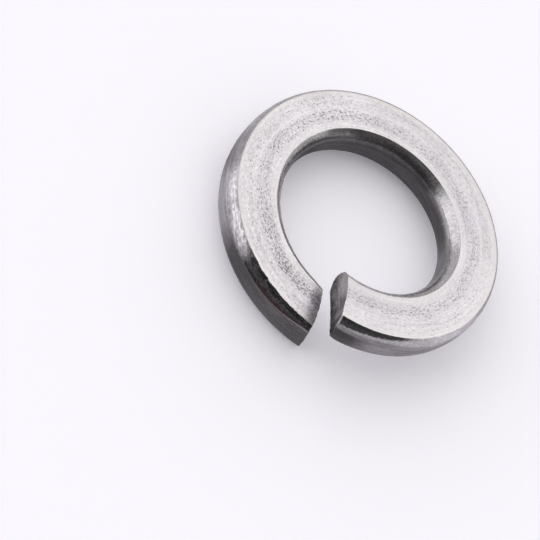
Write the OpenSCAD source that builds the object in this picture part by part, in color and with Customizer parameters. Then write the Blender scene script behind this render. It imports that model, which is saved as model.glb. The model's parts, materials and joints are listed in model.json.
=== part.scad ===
// Spring lock washer: one left-hand turn of rolled flat bar, sheared through and left sprung open.
// The bore axis is Z, and the lowest point of the coil is at Z = 0.

/* [Ring] */
// Diameter of the bore
bore_d = 8.9; // [8.1:0.1:12]
// Width of the bar, from the bore to the rim
bar_w = 2.9; // [2.2:0.05:4]
// Thickness of the bar
bar_t = 1.95; // [1.5:0.05:3]
// Height that the coil climbs in one turn, which sets the two ends apart
rise = 1.9; // [0.6:0.05:3]

/* [Bar section] */
// Width of the rounding at the rim, across the flat face
rim_round_w = 0.22; // [0.15:0.01:0.6]
// Height of the rounding at the rim, down the wall
rim_round_h = 0.7; // [0.15:0.01:0.72]
// Width of the rounding at the bore, across the flat face
bore_round_w = 0.45; // [0.15:0.01:0.6]
// Height of the rounding at the bore, down the wall
bore_round_h = 0.7; // [0.15:0.01:0.72]
// Angle that a rounding turns through before it meets the flat face at a crisp edge
round_turn = 62; // [45:1:80]
// Hollow that the rolls leave along the middle of each flat face
face_hollow = 0.03; // [0:0.005:0.06]

/* [Split] */
// Direction of the split around the axis, counter-clockwise from +X
split_at = 315; // [0:5:355]
// Clear width of the split, at the middle of the bar
split_w = 0.4; // [0.2:0.01:0.8]
// Turn of the upper end's sheared face away from the radius
upper_skew = 17; // [-20:1:20]
// Turn of the lower end's sheared face away from the radius
lower_skew = 10; // [-20:1:20]
// Lean of the upper end's sheared face from upright, at the rim
upper_lean = 12; // [0:1:18]
// Lean of the lower end's sheared face from upright, at the rim
lower_lean = 9; // [0:1:18]
// Bow of both sheared faces, from the middle of the bar to its edges
shear_bow = 0.12; // [0:0.01:0.25]
// Depth that the shear drags each end's struck edge over
drag_depth = 0.12; // [0:0.01:0.25]
// Length of bar that the drag reaches
drag_reach = 0.7; // [0.3:0.05:1.5]
// Share of the upper rim rounding's height that is left at the lower end
narrow_share = 0.28; // [0.2:0.02:1]
// Length of bar over which that rounding narrows towards the lower end
narrow_reach = 4; // [1:0.1:6]

/* [Fineness] */
// Steps along the coil
coil_steps = 108; // [72:12:144]
// Steps around each rounding
round_steps = 3; // [2:1:4]

/* [Hidden] */
$fn = 180;
bore_r = bore_d / 2;
rim_r = bore_r + bar_w;
mid_r = bore_r + bar_w / 2;
face_steps = 4;
// Share of the even spacing that is left between the steps at the coil's ends, where the shape changes fastest
end_crowding = 0.7;
// The roundings stop this many degrees short of the wall, so that they cross it at a clean edge
wall_break = 24;
// Bar stock left past the rim and the bore, which the two true walls then trim away
stock = 0.04;
bar_colour = [0.74, 0.73, 0.73];

// One rounding's points from the flat face to the wall, as [distance in from the wall, depth from the face]
function rounding(w, h) =
    let (a = w / (1 - cos(round_turn)), b = h / sin(round_turn))
    [for (i = [0 : round_steps])
        let (turn = round_turn + (wall_break - round_turn) * i / round_steps)
        [a * (1 - cos(turn)), h - b * sin(turn)]];

// Where the stock's outer corner lies: on the line from a rounding's last point through the wall's edge,
// but no further than halfway from that edge to the middle of the bar
function stock_corner(points, h) =
    let (last = points[round_steps], slope = (h - last[1]) / last[0])
    [-stock, min(h + stock * slope, (h + bar_t / 2) / 2)];

function reversed(list) = [for (i = [len(list) - 1 : -1 : 0]) list[i]];

rim_round = rounding(rim_round_w, rim_round_h);
bore_round = rounding(bore_round_w, bore_round_h);
rim_side = concat(rim_round, [stock_corner(rim_round, rim_round_h)]);
bore_side = concat(bore_round, [stock_corner(bore_round, bore_round_h)]);

// The flat face between its two crisp edges, as [radius, depth from the face], hollowed along the middle
face_points = [for (i = [1 : face_steps - 1])
    let (x = 2 * i / face_steps - 1)
    [bore_r + bore_round_w + (bar_w - bore_round_w - rim_round_w) * i / face_steps, face_hollow * (1 - x * x)]];

// Section of the bar, counter-clockwise from the lower face's inner edge, as [radius, height]
section = concat(
    [for (p = reversed(bore_side)) [bore_r + p[0], p[1]]],
    face_points,
    [for (p = rim_side) [rim_r - p[0], p[1]]],
    [for (p = reversed(rim_side)) [rim_r - p[0], bar_t - p[1]]],
    [for (p = reversed(face_points)) [p[0], bar_t - p[1]]],
    [for (p = bore_side) [bore_r + p[0], bar_t - p[1]]]);
section_middle = [mid_r, bar_t / 2];

// How far a sheared face stands across the split's centre line, at radius r and height z in the bar.
// Its lean grows from nothing at the bore to its full angle at the rim.
function shear_line(r, z, skew, rim_lean) =
    let (across = (r - mid_r) / (bar_w / 2), lean = rim_lean * pow((r - bore_r) / bar_w, 2))
    (r - mid_r) * tan(skew) - (z - bar_t / 2) * tan(lean) + shear_bow * (0.5 - across * across);
function upper_end(r, z) = asin((split_w / 2 + shear_line(r, z, upper_skew, upper_lean)) / r);
function lower_end(r, z) = 360 - asin((split_w / 2 - shear_line(r, z, lower_skew, lower_lean)) / r);

// Steps from 0 to 1 along the coil, closer together at its ends
function along(i) =
    let (t = i / coil_steps)
    t - end_crowding * sin(360 * t) / 360 * 180 / PI;

// Height of a point at step t, where the rounding between the upper face and the rim narrows at the lower end
function narrowed(r, z, t) =
    let (near = max(0, 1 - (1 - t) * 2 * PI * rim_r / narrow_reach),
        left = 1 - (1 - narrow_share) * near * near)
    r > rim_r - rim_round_w && z > bar_t / 2 ? bar_t - (bar_t - z) * left : z;

// How far the shear drags a point that lies d from the end, where share is 1 on the struck face
function drag(d, share) = drag_depth * max(0, share) * pow(max(0, 1 - d / drag_reach), 2);

function coil_point(r, section_z, t) =
    let (z = narrowed(r, section_z, t),
        first = upper_end(r, z),
        last = lower_end(r, z),
        turn = first + t * (last - first),
        arc = r * PI / 180,
        from_upper = (turn - first) * arc,
        from_lower = (last - turn) * arc,
        share = 2 * z / bar_t - 1,
        lift = drag(from_upper, -share) - drag(from_lower, share))
    [r * cos(turn), r * sin(turn), z + lift + rise * (1 - turn / 360)];

// The bar swept along the coil: a ring of points at each step, and the middle of each sheared face
module coiled_bar() {
    n = len(section);
    points = concat(
        [for (i = [0 : coil_steps]) for (p = section) coil_point(p[0], p[1], along(i))],
        [for (t = [0, 1]) coil_point(section_middle[0], section_middle[1], t)]);
    first_middle = n * (coil_steps + 1);
    last_ring = n * coil_steps;
    sides = [for (i = [0 : coil_steps - 1]) for (j = [0 : n - 1])
        let (a = i * n + j, b = i * n + (j + 1) % n)
        for (face = [[a, b + n, b], [a, a + n, b + n]]) face];
    upper_face = [for (j = [0 : n - 1]) [first_middle, j, (j + 1) % n]];
    lower_face = [for (j = [0 : n - 1]) [first_middle + 1, last_ring + (j + 1) % n, last_ring + j]];
    polyhedron(points, concat(sides, upper_face, lower_face), convexity = 6);
}

// The true round walls of the bore and the rim, taller than the coil at both ends
module walls() {
    translate([0, 0, -bar_t])
    difference() {
        cylinder(r = rim_r, h = rise + 3 * bar_t);
        translate([0, 0, -stock]) cylinder(r = bore_r, h = rise + 3 * bar_t + 2 * stock);
    }
}

module lock_washer() {
    color(bar_colour)
    rotate([0, 0, split_at])
    intersection() {
        walls();
        coiled_bar();
    }
}

lock_washer();
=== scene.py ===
import json
import math

import bmesh
import bpy
from bpy.props import FloatProperty, FloatVectorProperty, PointerProperty
from mathutils import Matrix, Vector


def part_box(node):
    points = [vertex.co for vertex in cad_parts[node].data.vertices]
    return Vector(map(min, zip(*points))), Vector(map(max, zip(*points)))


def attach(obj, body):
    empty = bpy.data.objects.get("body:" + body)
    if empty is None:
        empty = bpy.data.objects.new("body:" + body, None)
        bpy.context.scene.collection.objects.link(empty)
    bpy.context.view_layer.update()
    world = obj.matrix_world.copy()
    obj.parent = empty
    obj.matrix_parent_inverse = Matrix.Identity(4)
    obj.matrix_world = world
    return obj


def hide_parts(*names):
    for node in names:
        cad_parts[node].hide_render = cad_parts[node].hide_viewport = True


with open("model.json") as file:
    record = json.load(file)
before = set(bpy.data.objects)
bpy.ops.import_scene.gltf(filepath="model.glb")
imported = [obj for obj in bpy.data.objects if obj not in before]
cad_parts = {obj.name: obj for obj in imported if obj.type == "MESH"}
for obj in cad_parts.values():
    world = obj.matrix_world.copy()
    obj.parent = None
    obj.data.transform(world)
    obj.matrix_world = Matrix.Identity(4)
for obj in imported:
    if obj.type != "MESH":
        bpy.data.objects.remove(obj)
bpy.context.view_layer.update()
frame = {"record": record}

bl_info = {
    "name": "Spring Lock Washer",
    "version": (1, 0, 0),
    "blender": (4, 5, 0),
    "location": "View3D > Sidebar > Washer",
    "description": "Makes a sprung turn of rolled bar, with its steel finishes and a plain stage",
    "category": "Add Mesh",
}

MM = 0.001
NODE = "lock_washer"
BODY = "root"
PIECE = "sprung_washer"

CAD_LOW, CAD_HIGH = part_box(NODE)
BORE = next(mount for mount in frame["record"]["mounts"] if mount["name"] == "bore")
BORE_DIAMETER = 2 * BORE["dims"]["r_mm"] * MM
BAR_WIDTH = (CAD_HIGH.x - CAD_LOW.x - BORE_DIAMETER) / 2

# Columns of the bar's mesh around half of its section, and rows along the coil and across a sheared face
WALL_COLUMNS = 4
ROUND_COLUMNS = 14
BREAK_COLUMNS = 6
FACE_COLUMNS = 46
HALF_COLUMNS = 2 * WALL_COLUMNS + 2 * ROUND_COLUMNS + FACE_COLUMNS
COLUMNS = 2 * HALF_COLUMNS
SHEAR_ROWS = 16
COIL_ROWS = 566
ROWS = COIL_ROWS + 2 * SHEAR_ROWS + 1
# Share of the even spacing that the rows give up at the coil's ends
END_CROWDING = 0.3
# Points closer together than this become one
WELD = 0.0005 * MM
# Faces that meet at more than this many degrees keep a crisp edge between them
SHARP_DEGREES = 20

# Fineness, in grains to the millimetre, of the crisp edges' wander and the sheared faces' jagged outlines
WANDER_FINENESS = 4.0
JAG_FINENESS = 3.0
# Shares of the coil between which the crisp edges turn ragged, and their wander before and after
RAGGED_STRETCH = (0.84, 0.94)
QUIET_WANDER = 0.2
RAGGED_WANDER = 2.2
# Share of that wander beside the bore
BORE_WANDER = 0.3
# Offsets that set these noises apart: of the crisp edges, and of the upper and the lower sheared face
WANDER_PLACE = 3.7
JAG_PLACES = (2.0, 9.0)
# Parts of the stored vector "ends": distances from both ends, and the section's share of its full size
FROM_UPPER, FROM_LOWER, SHRINK = range(3)
# Where that share is less than this, a point lies on a sheared face
SKIN_SHARE = 0.995
NEARLY_ZERO = 0.0001

# Patches of painted reflection on each side's wall and rounding, painted highlights where their brightness is
# above 1 and painted dark reflections where it is below: first and last turn in degrees from the upper end,
# softness of those two ends in degrees, depths below the upper face in millimetres that they lie between, how
# much deeper they get with each degree, and their brightness
RIM_REFLECTION_PATCHES = (
    (-10, 16, 2, 6, 0.76, 2.1, 0, 0.3),
    (18, 60, 6, 8, 0.6, 2.1, 0, 1.3),
    (43, 66, 6, 8, -0.3, 0.7, 0, 1.3),
    (34, 64, 6, 8, 0.34, 0.7, 0, 1.25),
    (74, 198, 6, 8, -0.3, 0.75, 0, 0.62),
    (190, 268, 8, 5, -0.3, 0.6, 0, 0.75),
    (266, 285, 4, 4, -0.3, 1.6, 0, 0.72),
    (256, 286, 5, 4, 0.56, 0.8, 0, 1.35),
    (285, 322, 8, 3, -0.3, 0.72, 0, 1.65),
    (288, 318, 4, 4, -0.3, 0.07, 0, 0.6),
    (280, 306, 4, 4, 0.68, 2.1, 0, 1.6),
    (312, 370, 5, 4, 0.72, 2.1, -0.006, 0.42),
    (330, 370, 12, 4, 0.7, 2.1, -0.006, 1.35),
)
BORE_REFLECTION_PATCHES = (
    (15, 45, 8, 12, -0.3, 0.75, 0, 1.4),
    (40, 103, 6, 5, -0.3, 0.26, 0, 0.7),
    (106, 144, 10, 7, -0.3, 0.42, 0, 1.25),
    (108, 147, 8, 5, 0.36, 0.74, 0, 1.75),
    (104, 250, 14, 8, 0.66, 2.1, -0.004, 0.48),
    (143, 212, 7, 7, -0.3, 0.5, -0.003, 0.27),
    (148, 202, 5, 10, 0.34, 0.75, -0.001, 0.85),
    (206, 228, 6, 5, -0.3, 0.14, 0, 0.4),
    (230, 290, 6, 10, -0.3, 0.2, 0, 1.5),
    (246, 300, 6, 8, 0.2, 0.75, 0, 0.36),
    (234, 262, 6, 8, 0.66, 2.1, 0, 0.34),
    (306, 370, 8, 4, -0.3, 0.75, 0, 0.3),
)
# Raggedness of those patches: its grains to the millimetre, and how far it moves their ends in degrees and
# their sides in millimetres. Then the softness of their sides in millimetres
PATCH_GRAIN = 5.0
RAGGED_TURN = 2.5
RAGGED_DEPTH = 0.13
PATCH_SOFTNESS = 0.1

# On the flat faces, in millimetres across from the bore: the band of pits, and the weaker one beside it
PITTED_MIDDLE = 1.24
PITTED_HALF_WIDTH = 0.42
BESIDE = ((1.68, 1.95), (2.65, 2.3))
# Along the bar from the split: denser pits, a stretch of painted shade, coarser grain, a dark line just
# inside the rim edge, and painted shade along the rim edge
DENSER = (29.0, 35.0)
FACE_SHADE_STRETCH = ((9.5, 12.5), (22.0, 19.0))
COARSER = (18.0, 23.0)
RIM_DARK_LINE = ((21.0, 24.5), (33.5, 31.5))
RIM_EDGE_SHADE = ((6.0, 9.0), (33.5, 31.5))
# From the lower end: how far the shear dragged the face over
DRAGGED = (0.9, 0.2)

# On the upper rim rounding, in degrees of turn from the upper end: where the painted black wedge ends, and
# where the ripples, the painted black near the lower end, its painted glints and its rusty bloom start or
# come to their full strength. The painted black stands in for the dark surroundings that the rounding mirrors
WEDGE_END = (40.0, 30.0)
RIPPLE_START = (268.0, 282.0)
RIPPLE_FULL = (290.0, 306.0)
DARK_REFLECTION_START = (311.0, 325.0)
SPARKLE_FULL = (325.0, 345.0)
BLOOM_START = (326.0, 338.0)

# On the sheared faces, in millimetres from the bore and up from the bar's middle: the dark toe below the
# rim's rounding, the bright line beside it, the light corner above the bore and the dark stretch below
TOE = ((2.1, 2.3), (0.6, 0.4))
TOE_LINE = ((2.0, 2.1), (2.3, 2.2))
LIGHT_CORNER = ((1.5, 0.4), (-0.5, 0.5))
DARK_STRETCH = ((0.5, 1.5), (0.1, -0.7))
# The painted highlight along the burr grows between these, in millimetres from the bore
BURR_HIGHLIGHT = (1.4, 2.1)

# The studio's light, in degrees of turn from the middle of the lit side: where the panel and the weaker
# wall come in, and how soft the lit side's two edges are
PANEL_BLEND = (10, 45)
SIDE_WALL_BLEND = (-15, -45)
PANEL_EDGE_SOFTNESS = 4
WALL_EDGE_SOFTNESS = 20
# Heights in degrees between which the ceiling gives way to the walls
CEILING_BLEND = (78, 52)
PAPER_ROUGHNESS = 0.9
PAPER_GLOSS = 0.1
# The washer can lie only on faces of its hull whose normals point down at least this much
RESTING_SLOPE = -0.5
SENSOR_WIDTH = 36
CAMERA_REACH = (0.01, 10)

# Kinds of sockets on a shader group
NUMBER = "NodeSocketFloat"
POINT = "NodeSocketVector"
# Places of the two colours among a Mix node's inputs, and of the mixed colour among its outputs
MIX_COLOURS = (6, 7)
MIXED_COLOUR = 2


def length(name, description, millimetres, low, high):
    """A length in the scene's own unit, with its default and limits given in millimetres."""
    return FloatProperty(
        name=name,
        description=description,
        default=millimetres * MM,
        min=low * MM,
        max=high * MM,
        precision=5,
        subtype="DISTANCE",
        unit="LENGTH",
    )


def angle(name, description, degrees, low, high):
    """An angle, with its default and limits given in degrees."""
    return FloatProperty(
        name=name,
        description=description,
        default=math.radians(degrees),
        min=math.radians(low),
        max=math.radians(high),
        subtype="ANGLE",
        unit="ROTATION",
    )


def share(name, description, default, low=0.0, high=1.0):
    """A plain share or strength."""
    return FloatProperty(
        name=name, description=description, default=default, min=low, max=high, subtype="FACTOR"
    )


def brightness(name, description, default):
    """A brightness, where a white surface lit by 1 all round shows as white."""
    return FloatProperty(name=name, description=description, default=default, min=0.0, soft_max=10.0)


def colour(name, description, default):
    """A colour in linear light."""
    return FloatVectorProperty(
        name=name, description=description, default=default, min=0.0, max=1.0, size=3, subtype="COLOR"
    )


class BarSizes(bpy.types.PropertyGroup):
    """The bar and the coil that it is bent into."""

    bore_diameter: length("Bore Diameter", "Clear width of the hole", BORE_DIAMETER / MM, 4, 20)
    bar_width: length("Bar Width", "From the bore to the rim", BAR_WIDTH / MM, 1, 6)
    bar_thickness: length("Bar Thickness", "Between the two flat faces", 1.95, 0.8, 4)
    rise: length("Rise", "How far the coil climbs in one turn", 1.9, 0, 4)
    rim_round_width: length("Rim Rounding Width", "Across the flat face", 0.22, 0.05, 1)
    rim_round_height: length("Rim Rounding Height", "Down the rim wall", 0.7, 0.05, 0.9)
    bore_round_width: length("Bore Rounding Width", "Across the flat face", 0.45, 0.05, 1)
    bore_round_height: length("Bore Rounding Height", "Down the bore wall", 0.7, 0.05, 0.9)
    round_turn: angle("Rounding Turn", "Turn of a rounding before it meets the flat face", 62, 30, 85)
    wall_break: angle("Wall Break", "Turn at which a rounding straightens towards the wall", 24, 0, 28)
    narrow_share: share(
        "Narrow Share", "Share of the upper rim rounding's height left at the lower end", 0.28
    )
    narrow_reach: length("Narrow Reach", "Length of bar over which that rounding narrows", 4, 1, 8)
    face_hollow: length("Face Hollow", "Depth left by the rolls along each flat face", 0.03, 0, 0.1)
    split_direction: angle("Split Direction", "Where the split lies around the axis", 315, 0, 360)
    split_width: length("Split Width", "Between the two sheared faces", 0.4, 0.05, 1)
    upper_skew: angle("Upper Skew", "Turn of the upper sheared face away from the radius", 17, -25, 25)
    lower_skew: angle("Lower Skew", "Turn of the lower sheared face away from the radius", 10, -25, 25)
    upper_lean: angle("Upper Lean", "Lean of the upper sheared face at the rim", 12, 0, 20)
    lower_lean: angle("Lower Lean", "Lean of the lower sheared face at the rim", 9, 0, 20)
    shear_bow: length("Shear Bow", "Bow of both sheared faces", 0.12, 0, 0.3)
    drag_depth: length("Drag Depth", "How far the shear drags the struck edge over", 0.12, 0, 0.3)
    drag_reach: length("Drag Reach", "Length of bar that the drag reaches", 0.7, 0.2, 2)


class BarRelief(bpy.types.PropertyGroup):
    """The small relief that rolling, drawing and shearing leave on the bar."""

    unevenness: length("Unevenness", "Broad waves left by the rolls", 0.006, 0, 0.05)
    drawn_lines: length("Drawn Lines", "Height of the lines drawn along the bar", 0.003, 0, 0.02)
    pits: length("Pits", "Depth of the pits along the middle of each flat face", 0.006, 0, 0.05)
    hammering: length("Hammering", "Depth of the dents along the roundings", 0.012, 0, 0.05)
    ragged_edges: length("Ragged Edges", "Wander of the crisp edge beside each rounding", 0.05, 0, 0.1)
    tearing: length("Tearing", "Relief of the sheared faces and their edges", 0.05, 0, 0.1)
    burr: length("Burr", "Height of the burr along the sheared edges", 0.03, 0, 0.1)


class SteelFinish(bpy.types.PropertyGroup):
    """The colours and gloss of the steel."""

    face_colour: colour("Face Colour", "Steel of the flat faces", (0.76, 0.735, 0.75))
    rounding_colour: colour("Rounding Colour", "Steel of the roundings", (0.42, 0.405, 0.415))
    # Darker than the faces partly as duller drawn steel, and partly as painted shade for the dark
    # surroundings that the walls mirror
    wall_colour_and_shade: colour("Wall Colour", "Steel of the rim and bore walls", (0.24, 0.229, 0.237))
    sheared_colour: colour("Sheared Colour", "Steel of the sheared ends", (0.30, 0.285, 0.29))
    pit_colour: colour("Pit Colour", "Scale left in the pits", (0.15, 0.14, 0.15))
    rust_colour: colour("Rust Colour", "Bloom along the ridge near the lower end", (0.10, 0.035, 0.025))
    warm_colour: colour("Warm Colour", "Steel beside the face's edges", (0.70, 0.64, 0.60))
    face_roughness: share("Face Roughness", "Roughness of the flat faces", 0.40)
    rounding_roughness: share("Rounding Roughness", "Roughness of the roundings", 0.26)
    wall_roughness: share("Wall Roughness", "Roughness of the rim and bore walls", 0.5)
    sheared_roughness: share("Sheared Roughness", "Roughness of the sheared ends", 0.40)
    grain_depth: length("Grain Depth", "Depth of the finest grain", 0.009, 0, 0.05)


class StageLook(bpy.types.PropertyGroup):
    """The floor, the light and the camera."""

    floor_colour: colour("Floor Colour", "Plain paper", (0.965, 0.945, 0.995))
    floor_lift: share("Floor Lift", "Glow of the paper that the camera and reflections see", 0.13)
    floor_width: length("Floor Width", "Width of the paper", 2400, 100, 5000)
    light_colour: colour("Light Colour", "Colour of all the light", (1.0, 0.99, 1.0))
    light_middle: angle("Light Middle", "Direction of the middle of the lit side, from +X", 120, -360, 360)
    panel_edge: angle("Panel Edge", "Turn from the middle to the crisp edge of the panel", 140, 0, 180)
    wall_edge: angle("Wall Edge", "Turn from the middle to the soft edge of the weaker wall", 120, 0, 160)
    panel_level: brightness("Panel Level", "Brightness of the panel to the left", 1.4)
    back_level: brightness("Back Level", "Brightness of the wall behind", 1.25)
    side_level: brightness("Side Level", "Brightness of the wall to the right", 0.6)
    dark_level: brightness("Dark Level", "Brightness of the camera's side", 0.23)
    ceiling_level: brightness("Ceiling Level", "Brightness overhead", 0.95)
    camera_azimuth: angle(
        "Camera Azimuth", "Direction of the camera from its aim, from +X", -62.28, -360, 360
    )
    camera_elevation: angle("Camera Elevation", "Height of the camera above its aim", 49.53, -90, 90)
    camera_roll: angle("Camera Roll", "Turn of the camera about its own line of sight", 46.97, -180, 180)
    camera_distance: length("Camera Distance", "From the camera to its aim", 117.98, 10, 1000)
    camera_aim: FloatVectorProperty(
        name="Camera Aim",
        description="The point at the middle of the picture",
        default=(1.753 * MM, -6.304 * MM, 1.913 * MM),
        size=3,
        precision=5,
        subtype="TRANSLATION",
        unit="LENGTH",
    )
    camera_lens: FloatProperty(
        name="Camera Lens",
        description=f"Focal length on a {SENSOR_WIDTH} mm sensor",
        default=164.81,
        min=10,
        max=500,
    )


def arithmetic(operation, swapped=False):
    """A method of Field that adds a Math node. The field is its first value, or its second if swapped."""

    def method(field, other):
        values = (other, field) if swapped else (field, other)
        return math_node(field.tree, operation, *values)

    return method


class Field:
    """A value inside a node tree. Arithmetic and comparisons with it add Math nodes to that tree."""

    def __init__(self, tree, socket):
        self.tree = tree
        self.socket = socket

    def __neg__(self):
        return self * -1.0

    __add__ = arithmetic("ADD")
    __radd__ = arithmetic("ADD", swapped=True)
    __sub__ = arithmetic("SUBTRACT")
    __rsub__ = arithmetic("SUBTRACT", swapped=True)
    __mul__ = arithmetic("MULTIPLY")
    __rmul__ = arithmetic("MULTIPLY", swapped=True)
    __truediv__ = arithmetic("DIVIDE")
    __rtruediv__ = arithmetic("DIVIDE", swapped=True)
    __gt__ = arithmetic("GREATER_THAN")
    __lt__ = arithmetic("LESS_THAN")


def add_node(tree, kind, inputs=(), **settings):
    """Adds a node. Its inputs are fields, sockets or plain values, in their order or by name in a
    dictionary. One that is None keeps its default."""
    node = tree.nodes.new(kind)
    for key, value in settings.items():
        setattr(node, key, value)
    pairs = inputs.items() if isinstance(inputs, dict) else enumerate(inputs)
    for key, value in pairs:
        source = value.socket if isinstance(value, Field) else value
        if isinstance(source, bpy.types.NodeSocket):
            tree.links.new(source, node.inputs[key])
        elif source is not None:
            node.inputs[key].default_value = source
    return node


def node_field(tree, kind, inputs=(), output=0, **settings):
    """Adds a node, and returns one of its outputs as a field."""
    return Field(tree, add_node(tree, kind, inputs, **settings).outputs[output])


def math_node(tree, operation, *values, clamp=False):
    """A Math node's result."""
    return node_field(tree, "ShaderNodeMath", values, operation=operation, use_clamp=clamp)


def sine(x):
    return math_node(x.tree, "SINE", x)


def cosine(x):
    return math_node(x.tree, "COSINE", x)


def tangent(x):
    return math_node(x.tree, "TANGENT", x)


def arcsine(x):
    return math_node(x.tree, "ARCSINE", x)


def at_least(x, low):
    """The greater of two values."""
    return math_node(x.tree, "MAXIMUM", x, low)


def at_most(x, high):
    """The lesser of two values."""
    return math_node(x.tree, "MINIMUM", x, high)


def clamped(x):
    """x held between 0 and 1."""
    return math_node(x.tree, "ADD", x, 0.0, clamp=True)


def smooth_step(x, low, high):
    """0 below low and 1 above high, or the other way round, with a smooth change between them."""
    limits = {"Value": x, "From Min": low, "From Max": high}
    return node_field(x.tree, "ShaderNodeMapRange", limits, interpolation_type="SMOOTHSTEP")


def window(x, rise, fall):
    """1 between two borders and 0 outside them. rise and fall each say where x is still outside, and where
    it is wholly inside."""
    return smooth_step(x, *rise) * smooth_step(x, *fall)


def blend(a, b, amount):
    """a where amount is 0, b where it is 1, and between them elsewhere."""
    return a + (b - a) * amount


def band(across, middle, half_width):
    """1 along the middle of a band, and less and less past its half width."""
    off_middle = (across - middle) / half_width
    return 1.0 / (1.0 + off_middle * off_middle * off_middle * off_middle)


def vector(tree, x, y, z):
    """A vector field, from three fields or plain values."""
    return node_field(tree, "ShaderNodeCombineXYZ", [x, y, z])


def split_vector(place):
    """The three parts of a vector field."""
    node = add_node(place.tree, "ShaderNodeSeparateXYZ", [place])
    return [Field(place.tree, socket) for socket in node.outputs]


def scaled(place, factor):
    """A vector field, or a colour, times a factor."""
    return node_field(place.tree, "ShaderNodeVectorMath", {0: place, "Scale": factor}, operation="SCALE")


def noise(place, detail=2.0, roughness=0.5):
    """Noise about one unit across, from -1 to 1, at a place given as a vector field."""
    inputs = {"Vector": place, "Scale": 1.0, "Detail": detail, "Roughness": roughness}
    return (node_field(place.tree, "ShaderNodeTexNoise", inputs, noise_dimensions="3D") - 0.5) * 2.0


def changed(tree, kind, geometry, inputs=(), **settings):
    """The geometry that comes out of a new node which this geometry goes into."""
    return add_node(tree, kind, {"Geometry": geometry, **dict(inputs)}, **settings).outputs[0]


def group_inputs(tree, groups):
    """Gives the tree a named input for each property of these groups. Returns fields by property name."""
    entry = tree.nodes.new("NodeGroupInput")
    fields = {}
    for group in groups:
        for key, prop in group.__annotations__.items():
            name = prop.keywords["name"]
            tree.interface.new_socket(name=name, in_out="INPUT", socket_type=NUMBER)
            fields[key] = Field(tree, entry.outputs[name])
    return fields


def stored_value(tree, name, kind):
    """A value that was stored on the mesh by that name."""
    return node_field(tree, "GeometryNodeInputNamedAttribute", {"Name": name}, data_type=kind)


def rounding(size, width, height, passed):
    """How far in from the wall, and how far up from the wall's edge, a rounding is once this share of its
    columns is passed. It runs straight from the wall up to its break, and turns over from there."""
    first = BREAK_COLUMNS / ROUND_COLUMNS
    straight = clamped(passed / first)
    turn = blend(size["wall_break"], size["round_turn"], clamped((passed - first) / (1.0 - first)))
    inwards = width * straight * (1.0 - cosine(turn)) / (1.0 - cosine(size["round_turn"]))
    upwards = height * straight * sine(turn) / sine(size["round_turn"])
    return inwards, upwards


def section_point(size, around, along, ragged):
    """The bar's section, where around counts columns from the middle of the bore wall: radius, height,
    share of the way across the flat face, and share of the way up a rounding, which is 0 on the walls and 1
    on the flat faces. The path climbs the bore wall and its rounding, crosses the flat face and comes down
    the rim rounding and wall, and returns in the same way below. ragged moves the upper crisp edges."""
    half = at_most(around, COLUMNS - around)
    upper = around < HALF_COLUMNS
    face_start = WALL_COLUMNS + ROUND_COLUMNS
    face_end = face_start + FACE_COLUMNS
    bore_wall = clamped(half / WALL_COLUMNS)
    bore_share = clamped((half - WALL_COLUMNS) / ROUND_COLUMNS)
    across = clamped((half - face_start) / FACE_COLUMNS)
    rim_share = clamped((face_end + ROUND_COLUMNS - half) / ROUND_COLUMNS)
    rim_wall = clamped((HALF_COLUMNS - half) / WALL_COLUMNS)

    half_bar = size["bar_thickness"] / 2.0
    from_lower_end = (1.0 - along) * (size["bore_diameter"] / 2.0 + size["bar_width"]) * math.tau
    near = at_least(1.0 - from_lower_end / size["narrow_reach"], 0.0)
    rim_height = size["rim_round_height"] * (1.0 - (1.0 - size["narrow_share"]) * near * near * upper)
    bore_width = size["bore_round_width"] + ragged * upper * BORE_WANDER
    rim_width = size["rim_round_width"] + ragged * upper
    bore_in, bore_up = rounding(size, bore_width, size["bore_round_height"], bore_share)
    rim_in, rim_up = rounding(size, rim_width, rim_height, rim_share)
    face_width = size["bar_width"] - bore_width - rim_width
    radius = size["bore_diameter"] / 2.0 + bore_in + face_width * across + rim_width - rim_in
    centred = across * 2.0 - 1.0
    height = (
        (half_bar - size["bore_round_height"]) * bore_wall
        + bore_up
        - size["face_hollow"] * (1.0 - centred * centred)
        - (rim_height - rim_up)
        - (half_bar - rim_height) * (1.0 - rim_wall)
    )
    return radius, (upper * 2.0 - 1.0) * height, across, bore_share * rim_share


def shear_line(size, radius, height, skew, rim_lean):
    """How far a sheared face stands across the split's centre line. height is from the middle of the bar."""
    outward = radius - (size["bore_diameter"] + size["bar_width"]) / 2.0
    across = outward / (size["bar_width"] / 2.0)
    from_bore = (across + 1.0) / 2.0
    return (
        outward * tangent(skew)
        - height * tangent(rim_lean * from_bore * from_bore)
        + size["shear_bow"] * (0.5 - across * across)
    )


def drag(size, distance, struck):
    """How far the shear drags over a point this far from the end. struck is 1 on the struck face."""
    near = at_least(1.0 - distance / size["drag_reach"], 0.0)
    return size["drag_depth"] * at_least(struck, 0.0) * near * near


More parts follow.
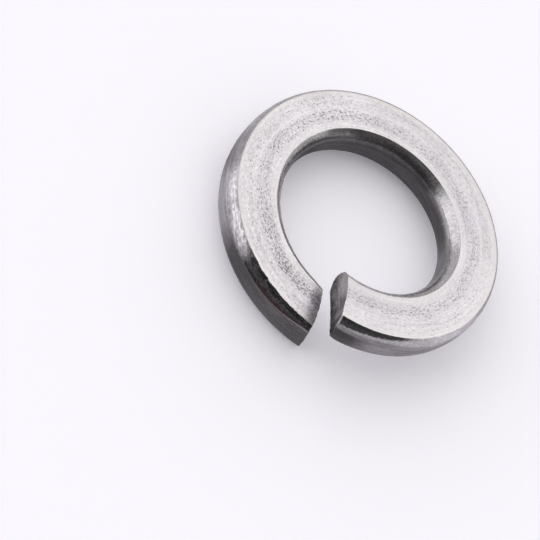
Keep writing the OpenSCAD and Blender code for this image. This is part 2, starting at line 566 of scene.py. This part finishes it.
def bar_tree(finishes):
    """Geometry nodes that lay a grid around the bar's section and along the coil, and close both ends."""
    tree = bpy.data.node_groups.new("Sprung turn of rolled bar", "GeometryNodeTree")
    size = group_inputs(tree, [BarSizes, BarRelief])
    tree.interface.new_socket(name="Geometry", in_out="OUTPUT", socket_type="NodeSocketGeometry")

    geometry = add_node(tree, "GeometryNodeMeshGrid", [1.0, 1.0, COLUMNS + 1, ROWS]).outputs[0]
    x, y, _ = split_vector(node_field(tree, "GeometryNodeInputPosition"))
    around = (x + 0.5) * COLUMNS
    row = (y + 0.5) * (ROWS - 1)

    mid_radius = (size["bore_diameter"] + size["bar_width"]) / 2.0
    evenly = clamped((row - SHEAR_ROWS) / COIL_ROWS)
    along = evenly - sine(evenly * math.tau) * (END_CROWDING / math.tau)
    shrink = clamped(row / SHEAR_ROWS) * clamped((ROWS - 1 - row) / SHEAR_ROWS)

    coil_length = mid_radius * math.tau / MM
    wander_place = vector(tree, along * coil_length * WANDER_FINENESS, WANDER_PLACE, 0.0)
    wander = noise(wander_place, detail=3.0, roughness=0.65)
    wander = wander * blend(QUIET_WANDER, RAGGED_WANDER, smooth_step(along, *RAGGED_STRETCH))
    radius, height, across, rounded = section_point(size, around, along, wander * size["ragged_edges"])
    radius = mid_radius + (radius - mid_radius) * shrink
    height = height * shrink

    half_split = size["split_width"] / 2.0
    jag_radius = radius / MM * JAG_FINENESS
    jag_height = height / MM * JAG_FINENESS
    jagged = [
        noise(vector(tree, jag_radius, jag_height, place), detail=3.0, roughness=0.6) * size["tearing"]
        for place in JAG_PLACES
    ]
    upper_line = shear_line(size, radius, height, size["upper_skew"], size["upper_lean"]) + jagged[0]
    lower_line = shear_line(size, radius, height, size["lower_skew"], size["lower_lean"]) + jagged[1]
    upper = arcsine((half_split + upper_line) / radius)
    lower = math.tau - arcsine((half_split - lower_line) / radius)
    turn = blend(upper, lower, along)
    from_upper = (turn - upper) * radius
    from_lower = (lower - turn) * radius
    struck = height / (size["bar_thickness"] / 2.0)
    lift = drag(size, from_upper, -struck) - drag(size, from_lower, struck)
    level = size["bar_thickness"] / 2.0 + height + lift + size["rise"] * (1.0 - turn / math.tau)
    direction = turn + size["split_direction"]
    coil_place = vector(tree, radius * cosine(direction), radius * sine(direction), level)

    bar_place = vector(tree, radius - size["bore_diameter"] / 2.0, turn * mid_radius, height)
    ends = vector(tree, from_upper, from_lower, shrink)
    on_flat = (across * (1.0 - across)) > NEARLY_ZERO

    for name, kind, value in (
        ("bar_place", "FLOAT_VECTOR", bar_place),
        ("ends", "FLOAT_VECTOR", ends),
        ("on_flat", "FLOAT", on_flat),
        ("rounded", "FLOAT", rounded),
    ):
        stored = {"Name": name, "Value": value}
        kinds = {"data_type": kind, "domain": "POINT"}
        geometry = changed(tree, "GeometryNodeStoreNamedAttribute", geometry, stored, **kinds)
    geometry = changed(tree, "GeometryNodeSetPosition", geometry, {"Position": coil_place})
    geometry = changed(tree, "GeometryNodeMergeByDistance", geometry, {"Distance": WELD})
    geometry = changed(tree, "GeometryNodeSetShadeSmooth", geometry, {"Shade Smooth": True}, domain="FACE")
    sharp = node_field(tree, "GeometryNodeInputMeshEdgeAngle") > math.radians(SHARP_DEGREES)
    creased = {"Selection": sharp, "Shade Smooth": False}
    geometry = changed(tree, "GeometryNodeSetShadeSmooth", geometry, creased, domain="EDGE")
    push = scaled(node_field(tree, "GeometryNodeInputNormal"), bar_relief(tree, size))
    geometry = changed(tree, "GeometryNodeSetPosition", geometry, {"Offset": push})

    geometry = changed(tree, "GeometryNodeRealizeInstances", geometry)
    all_flat = stored_value(tree, "on_flat", "FLOAT") > (1.0 - NEARLY_ZERO)
    on_cut = split_vector(stored_value(tree, "ends", "FLOAT_VECTOR"))[SHRINK] < SKIN_SHARE
    coats = ((finishes["edge"], None), (finishes["face"], all_flat), (finishes["sheared"], on_cut))
    for finish, selection in coats:
        painted = {"Selection": selection, "Material": finish}
        geometry = changed(tree, "GeometryNodeSetMaterial", geometry, painted)
    add_node(tree, "NodeGroupOutput", [geometry])
    return tree


def bar_relief(tree, size):
    """Height of the small relief at each point of the bar. On the skin it is nothing or below it, so that
    the bar stays within its true size. On a sheared face, burrs stand out into the split."""
    place = split_vector(stored_value(tree, "bar_place", "FLOAT_VECTOR"))
    across, along, height = (part / MM for part in place)
    shrink = split_vector(stored_value(tree, "ends", "FLOAT_VECTOR"))[SHRINK]
    rounded = stored_value(tree, "rounded", "FLOAT")
    outside = smooth_step(shrink, 0.97, 1.0)
    waves = noise(vector(tree, across, along * 0.7, height), detail=2.0)
    lines = noise(vector(tree, across * 8.0, along * 0.15, height * 8.0), detail=2.0)
    grain = noise(vector(tree, across * 5.0, along * 5.0, height), detail=2.0, roughness=0.6)
    pits = smooth_step(grain, -0.1, 0.5) * band(across, middle=1.25, half_width=0.5) * (rounded > 0.99)
    hammered = noise(vector(tree, across * 3.0, along * 2.2 + height * 2.0, height * 3.0), detail=2.0)
    on_rounding = window(rounded, (0.05, 0.3), (1.0, 0.9))
    torn = noise(vector(tree, across * 4.0, along * 4.0, height * 0.9), detail=3.0)
    burr = smooth_step(shrink, 0.8, 0.96) * smooth_step(torn, -0.3, 0.3)
    skin = (waves - 1.0) * size["unevenness"] + (lines - 1.0) * size["drawn_lines"]
    skin = skin - pits * size["pits"] + (hammered - 1.0) * on_rounding * size["hammering"]
    cut = (torn - 1.0) * size["tearing"] + burr * size["burr"]
    return blend(cut, skin, outside)


def attribute(tree, name, output="Vector"):
    """A value that was stored on the mesh, as a material reads it: a vector, or with Fac a number."""
    return node_field(tree, "ShaderNodeAttribute", output=output, attribute_name=name)


def end_part(tree, part):
    """One part of the stored vector "ends", as a material reads it."""
    return split_vector(attribute(tree, "ends"))[part]


def bar_coordinates(tree):
    """Where a point lies on the bar in millimetres: across from the bore, along, and up from the middle."""
    return [part / MM for part in split_vector(attribute(tree, "bar_place"))]


def shader_group(name, inputs, outputs, fill):
    """A node group of shader nodes, built once. fill works out its outputs from its inputs, both as fields
    by name."""
    tree = bpy.data.node_groups.get(name)
    if tree:
        return tree
    tree = bpy.data.node_groups.new(name, "ShaderNodeTree")
    for in_out, sockets in (("INPUT", inputs), ("OUTPUT", outputs)):
        for socket_name, kind in sockets.items():
            tree.interface.new_socket(name=socket_name, in_out=in_out, socket_type=kind)
    entry = tree.nodes.new("NodeGroupInput")
    results = fill(tree, {key: Field(tree, entry.outputs[key]) for key in inputs})
    add_node(tree, "NodeGroupOutput", results)
    return tree


def use_group(tree, group, values):
    """Places a shader group in a tree, and returns its outputs as fields by name."""
    node = add_node(tree, "ShaderNodeGroup", values, node_tree=group)
    return {socket.name: Field(tree, socket) for socket in node.outputs}


def pits_group():
    """Dark pits with ragged outlines. Density is their share of the surface, and Size is about their
    spacing in mm."""

    def fill(tree, given):
        grain = noise(scaled(given["Place"], 1.0 / given["Size"]), detail=2.5, roughness=0.6)
        clusters = noise(scaled(given["Place"], 1.4), detail=1.0)
        low = 0.36 - given["Density"] * 0.5 - clusters * 0.12
        return {"Mask": smooth_step(grain, low, low + 0.22)}

    return shader_group("Pits", {"Place": POINT, "Size": NUMBER, "Density": NUMBER}, {"Mask": NUMBER}, fill)


def patch_group():
    """A patch with ragged borders, from First to Last along the bar in degrees and from Top to Bottom below
    the upper face in millimetres, which Slant lowers by so much for each degree. Fade In and Fade Out are
    the softness of its ends in degrees."""

    def fill(tree, given):
        first, last, top, bottom, fade_in, fade_out = (
            given[key] for key in ("First", "Last", "Top", "Bottom", "Fade In", "Fade Out")
        )
        ragged = noise(scaled(given["Place"], PATCH_GRAIN), detail=3.0, roughness=0.65)
        turn = given["Turn"] + ragged * RAGGED_TURN
        depth = given["Depth"] + ragged * RAGGED_DEPTH - (given["Turn"] - first) * given["Slant"]
        ends = window(turn, (first - fade_in, first + fade_in), (last + fade_out, last - fade_out))
        soft = PATCH_SOFTNESS
        sides = window(depth, (top - soft, top + soft), (bottom + soft, bottom - soft))
        return {"Mask": ends * sides}

    numbers = ("Turn", "Depth", "First", "Last", "Top", "Bottom", "Slant", "Fade In", "Fade Out")
    return shader_group("Patch", {"Place": POINT, **dict.fromkeys(numbers, NUMBER)}, {"Mask": NUMBER}, fill)


def lines_group():
    """Fine lines drawn along the bar. Width is about one line's width in mm, and Run is its length."""

    def fill(tree, given):
        across, along, height = split_vector(given["Place"])
        fine = 1.0 / given["Width"]
        place = vector(tree, across * fine, along / given["Run"], height * fine)
        return {"Height": noise(place, detail=3.0, roughness=0.6)}

    inputs = {"Place": POINT, "Width": NUMBER, "Run": NUMBER}
    return shader_group("Drawn lines", inputs, {"Height": NUMBER}, fill)


def mottle_group():
    """Soft light and dark patches of two sizes, from -1 to 1."""

    def fill(tree, given):
        fine = noise(scaled(given["Place"], 1.0 / given["Size"]), detail=2.0, roughness=0.6)
        broad = noise(scaled(given["Place"], 0.9), detail=1.0)
        return {"Value": fine * 0.75 + broad * 0.25}

    return shader_group("Mottling", {"Place": POINT, "Size": NUMBER}, {"Value": NUMBER}, fill)


def mixed(tree, amount, *colours):
    """A colour between two, each a plain colour or a field."""
    colours = [part if isinstance(part, Field) else (*part, 1.0) for part in colours]
    inputs = {0: amount, **dict(zip(MIX_COLOURS, colours))}
    return node_field(tree, "ShaderNodeMix", inputs, output=MIXED_COLOUR, data_type="RGBA", clamp_factor=True)


def shaded(colour, factor):
    """A colour made lighter or darker by a factor, but no lighter than white."""
    return [min(1.0, part * factor) for part in colour]


def new_steel(name, base, roughness):
    """A metal material. Returns it with its tree and its shader."""
    material = bpy.data.materials.new(name)
    material.use_nodes = True
    tree = material.node_tree
    shader = tree.nodes["Principled BSDF"]
    shader.inputs["Base Color"].default_value = (*base, 1.0)
    shader.inputs["Metallic"].default_value = 1.0
    shader.inputs["Roughness"].default_value = roughness
    return material, tree, shader


def feed_steel(shader, plain, rough, relief, depth):
    """Feeds colour and roughness to a steel's shader, and a relief whose unit is this deep in metres."""
    bump = add_node(plain.tree, "ShaderNodeBump", {"Strength": 1.0, "Distance": depth, "Height": relief})
    sources = {"Base Color": plain.socket, "Roughness": rough.socket, "Normal": bump.outputs[0]}
    for name, source in sources.items():
        plain.tree.links.new(source, shader.inputs[name])


def face_steel(finish, sizes):
    """The flat faces: light satin, pitted along a band at mid-width, with faint drawn lines."""
    material, tree, shader = new_steel("rolled_face", finish.face_colour, finish.face_roughness)
    across, along, height = bar_coordinates(tree)
    place = vector(tree, across, along, height)
    drawn = vector(tree, across, along * 0.55, height)
    rim_edge = (sizes.bar_width - sizes.rim_round_width) / MM
    bore_edge = sizes.bore_round_width / MM

    wander = noise(vector(tree, along * 0.3, 5.0, height), detail=1.0) * 0.2
    pitted = band(across + wander, PITTED_MIDDLE, PITTED_HALF_WIDTH)
    beside = window(across, *BESIDE)
    dragged = smooth_step(end_part(tree, FROM_LOWER) / MM, *DRAGGED) * (height > 0.0)
    density = pitted * (0.6 + smooth_step(along, *DENSER) * 0.2) + beside * 0.32 + dragged * 0.3
    pits = use_group(tree, pits_group(), {"Place": drawn, "Size": 0.08, "Density": density})["Mask"]
    lines = use_group(tree, lines_group(), {"Place": place, "Width": 0.16, "Run": 5.0})["Height"]
    mottle = use_group(tree, mottle_group(), {"Place": drawn, "Size": 0.09})["Value"]

    # A stretch of the face made darker: painted shade
    face_shade = window(along, *FACE_SHADE_STRETCH)
    coarse = smooth_step(along, *COARSER)
    tone = 0.68 + mottle * blend(0.65, 1.0, coarse) + lines * 0.45 - pitted * 0.22 - beside * 0.12
    tone = clamped(tone - dragged * 0.5 - face_shade * 0.15)
    plain = mixed(tree, tone, shaded(finish.face_colour, 0.6), shaded(finish.face_colour, 1.12))
    warm = smooth_step(across, rim_edge - 0.5, rim_edge) + smooth_step(across, bore_edge + 0.3, bore_edge)
    plain = mixed(tree, warm * 0.32, plain, finish.warm_colour)
    # A dark line just inside the rim edge, and painted shade along the rim edge itself
    rim_dark_line = smooth_step(across + mottle * 0.03, rim_edge - 0.08, rim_edge - 0.02) * window(along, *RIM_DARK_LINE)
    rim_edge_shade = smooth_step(across, rim_edge - 0.16, rim_edge) * window(along, *RIM_EDGE_SHADE)
    pits_and_edge_shade = at_most(pits * blend(0.46, 0.64, coarse) + rim_dark_line * 0.5 + rim_edge_shade * 0.3, 1.0)
    plain = mixed(tree, pits_and_edge_shade, plain, finish.pit_colour)

    rough = finish.face_roughness + pits * 0.2 + mottle * 0.1
    relief = lines * 0.25 + mottle * 0.8 - pits * 0.6
    feed_steel(shader, plain, rough, relief, finish.grain_depth)
    return material


def painted_reflection_level(tree, place, turn, depth, on_rim):
    """How bright the patches of painted reflection, painted highlights and painted dark reflections, leave
    each point: 1 outside all of them.
    """
    level = 1.0
    for patches, on_side in ((RIM_REFLECTION_PATCHES, on_rim), (BORE_REFLECTION_PATCHES, 1.0 - on_rim)):
        for first, last, fade_in, fade_out, top, bottom, slant, reflection_brightness in patches:
            limits = {"First": first, "Last": last, "Fade In": fade_in, "Fade Out": fade_out,
                      "Top": top, "Bottom": bottom, "Slant": slant}
            inputs = {"Place": place, "Turn": turn, "Depth": depth, **limits}
            mask = use_group(tree, patch_group(), inputs)["Mask"]
            level = level * blend(1.0, reflection_brightness, mask * on_side)
    return level


def edge_steel(finish, sizes):
    """The walls and roundings. The walls are dull and drawn along the bar, and the upper roundings are
    glossier, with a coarse hammered grain. Painted reflections, light and dark, lie on them in patches, and
    near the split a painted black stands in for the dark surroundings that the rounding mirrors."""
    material, tree, shader = new_steel("drawn_edge", finish.rounding_colour, finish.rounding_roughness)
    across, along, height = bar_coordinates(tree)
    rounded = attribute(tree, "rounded", "Fac")
    place = vector(tree, across, along, height)
    middle = (sizes.bore_diameter + sizes.bar_width) / 2 / MM
    turn = along * (math.degrees(1) / middle)
    depth = sizes.bar_thickness / 2 / MM - height
    on_rim = across > sizes.bar_width / 2 / MM
    upper = smooth_step(height, -0.1, 0.1)
    wander = noise(scaled(place, 3.0), detail=2.0) * 0.12
    on_rounding = smooth_step(rounded + wander, 0.04, 0.55) * upper
    on_rounding = on_rounding + smooth_step(rounded, 0.75, 1.0) * (1.0 - upper)

    lines = use_group(tree, lines_group(), {"Place": place, "Width": 0.06, "Run": 1.6})["Height"]
    mottle = use_group(tree, mottle_group(), {"Place": place, "Size": 0.13})["Value"]
    pits = use_group(tree, pits_group(), {"Place": place, "Size": 0.11, "Density": 0.25})["Mask"]
    tone = clamped(0.5 + lines * blend(1.4, 0.4, on_rounding) + mottle * blend(0.7, 1.0, on_rounding))
    glossy, dull = finish.rounding_colour, finish.wall_colour_and_shade
    rounding_tone = mixed(tree, tone, shaded(glossy, 0.6), shaded(glossy, 1.3))
    wall_tone = mixed(tree, tone, shaded(dull, 0.65), shaded(dull, 1.3))
    plain = mixed(tree, on_rounding, wall_tone, rounding_tone)

    # Painted black near the lower end and a painted black wedge at the upper end with a bare lip, both
    # standing in for the dark surroundings that the rounding mirrors near the split, and ripples
    above_ridge = smooth_step(rounded, 0.0, 0.05) * upper * on_rim
    painted_dark_reflection = above_ridge * smooth_step(turn + mottle * 9.0 - depth * 4.0, *DARK_REFLECTION_START)
    painted_dark_wedge = smooth_step(depth + mottle * 0.1 + turn * 0.012, 0.55, 0.45) * upper * on_rim
    painted_dark_wedge = painted_dark_wedge * smooth_step(turn, *WEDGE_END)
    lip = smooth_step(end_part(tree, FROM_UPPER) / MM + mottle * 0.04, 0.12, 0.05) * painted_dark_wedge
    painted_black = at_most(painted_dark_reflection + painted_dark_wedge, 1.0)
    ripple = noise(vector(tree, along * 5.0 + height * 5.0, across * 4.0, height * 9.0), detail=2.0)
    ripple_strength = blend(0.35, 1.0, smooth_step(turn, *RIPPLE_FULL)) * smooth_step(turn, *RIPPLE_START)
    ripple = ripple * above_ridge * ripple_strength
    # The painted reflection patches and the painted black set how bright the steel shows here
    level = painted_reflection_level(tree, place, turn, depth, on_rim) * blend(1.0, 0.12, painted_black) * (1.0 + ripple * 1.1)
    plain = scaled(mixed(tree, pits * 0.45, plain, finish.pit_colour), level)

    # Painted glints on the painted black, a painted highlight line along its ridge, and a rusty bloom
    sparkle = smooth_step(noise(scaled(place, 15.0), detail=1.0), 0.0, 0.55) * painted_black
    sparkle = sparkle * blend(0.4, 1.0, smooth_step(turn, *SPARKLE_FULL))
    # A painted highlight line along the ridge between the wall and the rounding
    ridge = (rounded > 0.001) * smooth_step(rounded, 0.06, 0.02) * painted_black
    plain = mixed(tree, at_most(sparkle * 0.6 + ridge * 0.6, 1.0), plain, shaded(glossy, 0.6))
    plain = mixed(tree, lip * 0.8, plain, finish.face_colour)
    bloom = window(rounded, (0.04, 0.1), (0.3, 0.12)) * painted_dark_reflection * smooth_step(turn, *BLOOM_START)
    plain = mixed(tree, bloom * 0.6, plain, finish.rust_colour)

    rough = blend(finish.wall_roughness, finish.rounding_roughness, on_rounding)
    rough = rough + lines * 0.06 + pits * 0.15 + painted_black * 0.08
    relief = lines * blend(0.9, 0.3, on_rounding) + mottle * blend(0.4, 1.4, on_rounding)
    relief = relief - pits * 0.4 + ripple * 1.5
    feed_steel(shader, plain, rough, relief, finish.grain_depth)
    return material


def corner(across, height, across_limits, height_limits):
    """1 in one corner of a sheared face. Each pair of limits says where it is 0, and where it is 1."""
    return smooth_step(across, *across_limits) * smooth_step(height, *height_limits)


def sheared_steel(finish):
    """The sheared ends: streaked in the direction of the cut, torn, and with a painted highlight along their
    burrs.
    """
    material, tree, shader = new_steel("sheared_end", finish.sheared_colour, finish.sheared_roughness)
    across, along, height = bar_coordinates(tree)
    shrink = end_part(tree, SHRINK)
    streaks = noise(vector(tree, across * 1.1, 0.0, height * 7.0), detail=3.0, roughness=0.6)
    grain = noise(vector(tree, across * 18.0, along * 18.0, height * 14.0), detail=2.0)
    patches = noise(vector(tree, across * 1.6, 4.0, height * 1.6), detail=2.0)
    rim_of_cut = smooth_step(shrink, 0.72, 0.94)
    tone = 0.4 + streaks * 0.8 + grain * 0.6 + patches * 0.5 - rim_of_cut * 0.12
    tone = tone + corner(across, height, *LIGHT_CORNER) * 0.65 - corner(across, height, *DARK_STRETCH) * 0.2
    tone = clamped(tone - corner(across, height, *TOE) * 0.3 + window(across, *TOE_LINE) * 0.15)
    plain = mixed(tree, tone, shaded(finish.sheared_colour, 0.3), shaded(finish.sheared_colour, 2.1))
    # Painted highlight along the burrs, in the face's light colour
    bright = smooth_step(grain + patches + smooth_step(across, *BURR_HIGHLIGHT) * 0.6, 0.0, 0.4)
    burr = smooth_step(shrink, 0.95, 0.99) * bright
    plain = mixed(tree, burr * 0.85, plain, finish.face_colour)
    rough = finish.sheared_roughness + streaks * 0.12
    feed_steel(shader, plain, rough, streaks * 1.6 + grain * 0.8, finish.grain_depth)
    return material


class WASHER_OT_bar(bpy.types.Operator):
    """Makes the washer: one sprung turn of rolled bar, sheared through"""

    bl_idname = "washer.bar"
    bl_label = "Make Washer"

    def execute(self, context):
        scene = context.scene
        finish = scene.steel_finish
        finishes = {
            "face": face_steel(finish, scene.bar_sizes),
            "edge": edge_steel(finish, scene.bar_sizes),
            "sheared": sheared_steel(finish),
        }
        tree = bar_tree(finishes)
        maker = bpy.data.objects.new("bar_maker", bpy.data.meshes.new("bar_maker"))
        scene.collection.objects.link(maker)
        modifier = maker.modifiers.new("Bar", "NODES")
        modifier.node_group = tree
        for group in (scene.bar_sizes, scene.bar_relief):
            for key, prop in type(group).__annotations__.items():
                socket = tree.interface.items_tree[prop.keywords["name"]]
                modifier[socket.identifier] = getattr(group, key)
        graph = context.evaluated_depsgraph_get()
        mesh = bpy.data.meshes.new_from_object(maker.evaluated_get(graph))
        bpy.data.objects.remove(maker)
        if not mesh.polygons:
            raise RuntimeError("the bar's nodes made no faces")
        washer = bpy.data.objects.new(PIECE, mesh)
        scene.collection.objects.link(washer)
        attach(washer, BODY)
        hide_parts(NODE)
        return {"FINISHED"}


def resting_plane(mesh):
    """A point on the plane that the mesh lies on, and that plane's upward normal. It is the face below its
    convex hull that the bore's axis passes through."""
    hull = bmesh.new()
    hull.from_mesh(mesh)
    bmesh.ops.convex_hull(hull, input=hull.verts, use_existing_faces=False)
    found = None
    for face in hull.faces:
        corners = [v.co for v in face.verts]
        if face.normal.z > RESTING_SLOPE or len(corners) != 3:
            continue
        turns = [a.x * b.y - a.y * b.x for a, b in zip(corners, corners[1:] + corners[:1])]
        if all(t <= 0 for t in turns) or all(t >= 0 for t in turns):
            found = (corners[0].copy(), -face.normal.copy())
    hull.free()
    if found is None:
        raise RuntimeError("the washer has no face to lie on")
    return found


def studio_world(look):
    """Soft light all round but for the camera's side: a bright panel to the left with a crisp edge towards
    the camera, a wall behind, and a weaker wall to the right."""
    world = bpy.data.worlds.new("studio")
    world.use_nodes = True
    tree = world.node_tree
    x, y, z = split_vector(node_field(tree, "ShaderNodeTexCoord", output="Generated"))
    middle = look.light_middle
    ahead = x * math.cos(middle) + y * math.sin(middle)
    aside = y * math.cos(middle) - x * math.sin(middle)
    turn = math_node(tree, "ARCTAN2", aside, ahead)
    panel = smooth_step(turn, *map(math.radians, PANEL_BLEND))
    side_wall = smooth_step(turn, *map(math.radians, SIDE_WALL_BLEND))
    panel_fade = (look.panel_edge + math.radians(PANEL_EDGE_SOFTNESS), look.panel_edge)
    wall_fade = (-look.wall_edge - math.radians(WALL_EDGE_SOFTNESS), -look.wall_edge)
    lit = window(turn, wall_fade, panel_fade)
    level = blend(blend(look.back_level, look.panel_level, panel), look.side_level, side_wall)
    level = blend(look.dark_level, level, lit)
    overhead = [math.sin(math.radians(height)) for height in CEILING_BLEND]
    level = blend(look.ceiling_level, level, smooth_step(z, *overhead))
    background = tree.nodes["Background"]
    tree.links.new(level.socket, background.inputs["Strength"])
    background.inputs["Color"].default_value = (*look.light_colour, 1.0)
    return world


def floor_paper(look):
    """Plain paper that shows nearly white to the camera and in reflections, and keeps the washer's shadow.
    From below it is clear, so that the washer's underside can be looked at."""
    material = bpy.data.materials.new("plain_paper")
    material.use_nodes = True
    tree = material.node_tree
    paper = tree.nodes["Principled BSDF"]
    paper.inputs["Base Color"].default_value = (*look.floor_colour, 1.0)
    paper.inputs["Roughness"].default_value = PAPER_ROUGHNESS
    paper.inputs["Specular IOR Level"].default_value = PAPER_GLOSS
    rays = add_node(tree, "ShaderNodeLightPath").outputs
    names = ("Is Camera Ray", "Is Glossy Ray", "Is Transmission Ray")
    to_camera, mirrored, through = (Field(tree, rays[name]) for name in names)
    seen = at_most(to_camera + mirrored + through, 1.0)
    paper.inputs["Emission Color"].default_value = (*look.floor_colour, 1.0)
    tree.links.new((seen * look.floor_lift).socket, paper.inputs["Emission Strength"])
    clear = add_node(tree, "ShaderNodeBsdfTransparent")
    side = add_node(tree, "ShaderNodeNewGeometry")
    choice = [side.outputs["Backfacing"], paper.outputs[0], clear.outputs[0]]
    either = add_node(tree, "ShaderNodeMixShader", choice)
    tree.links.new(either.outputs[0], tree.nodes["Material Output"].inputs["Surface"])
    return material


class WASHER_OT_stage(bpy.types.Operator):
    """Makes the plain stage: the floor that the washer lies on, the light and the camera"""

    bl_idname = "washer.stage"
    bl_label = "Make Stage"

    def execute(self, context):
        scene = context.scene
        look = scene.stage_look
        point, upward = resting_plane(bpy.data.objects[PIECE].data)
        turn = Vector((0, 0, 1)).rotation_difference(upward).to_matrix().to_4x4()
        mesh = bpy.data.meshes.new("floor")
        half = look.floor_width / 2
        corners = [(-half, -half, 0), (half, -half, 0), (half, half, 0), (-half, half, 0)]
        mesh.from_pydata(corners, [], [range(4)])
        mesh.transform(Matrix.Translation(point) @ turn)
        floor = bpy.data.objects.new("floor", mesh)
        scene.collection.objects.link(floor)
        mesh.materials.append(floor_paper(look))

        scene.world = studio_world(look)

        camera = bpy.data.cameras.new("camera")
        camera.lens = look.camera_lens
        camera.sensor_width = SENSOR_WIDTH
        camera.clip_start, camera.clip_end = CAMERA_REACH
        view = bpy.data.objects.new("camera", camera)
        around, up = look.camera_azimuth, look.camera_elevation
        back = Vector((math.cos(around) * math.cos(up), math.sin(around) * math.cos(up), math.sin(up)))
        upright = back.to_track_quat("Z", "Y").to_matrix()
        rolled = upright @ Matrix.Rotation(look.camera_roll, 3, "Z")
        place = Matrix.Translation(Vector(look.camera_aim) + back * look.camera_distance)
        view.matrix_world = place @ rolled.to_4x4()
        scene.collection.objects.link(view)
        scene.camera = view
        scene.view_settings.view_transform = "Standard"
        return {"FINISHED"}


class WASHER_PT_panel(bpy.types.Panel):
    """Lists what makes the washer and its stage"""

    bl_idname = "WASHER_PT_panel"
    bl_label = "Spring Lock Washer"
    bl_space_type = "VIEW_3D"
    bl_region_type = "UI"
    bl_category = "Washer"

    def draw(self, context):
        for operator, groups in PANEL_ROWS:
            box = self.layout.box()
            for group in groups:
                owner = getattr(context.scene, group)
                for key in type(owner).__annotations__:
                    box.prop(owner, key)
            box.operator(operator)


GROUPS = {
    "bar_sizes": BarSizes,
    "bar_relief": BarRelief,
    "steel_finish": SteelFinish,
    "stage_look": StageLook,
}
PANEL_ROWS = (
    ("washer.bar", ("bar_sizes", "bar_relief", "steel_finish")),
    ("washer.stage", ("stage_look",)),
)
CLASSES = (*GROUPS.values(), WASHER_OT_bar, WASHER_OT_stage, WASHER_PT_panel)


def register():
    for cls in CLASSES:
        bpy.utils.register_class(cls)
    for name, group in GROUPS.items():
        setattr(bpy.types.Scene, name, PointerProperty(type=group))


def unregister():
    for name in GROUPS:
        delattr(bpy.types.Scene, name)
    for cls in reversed(CLASSES):
        bpy.utils.unregister_class(cls)


def main():
    register()
    bpy.ops.washer.bar()
    bpy.ops.washer.stage()


if __name__ == "__main__":
    main()
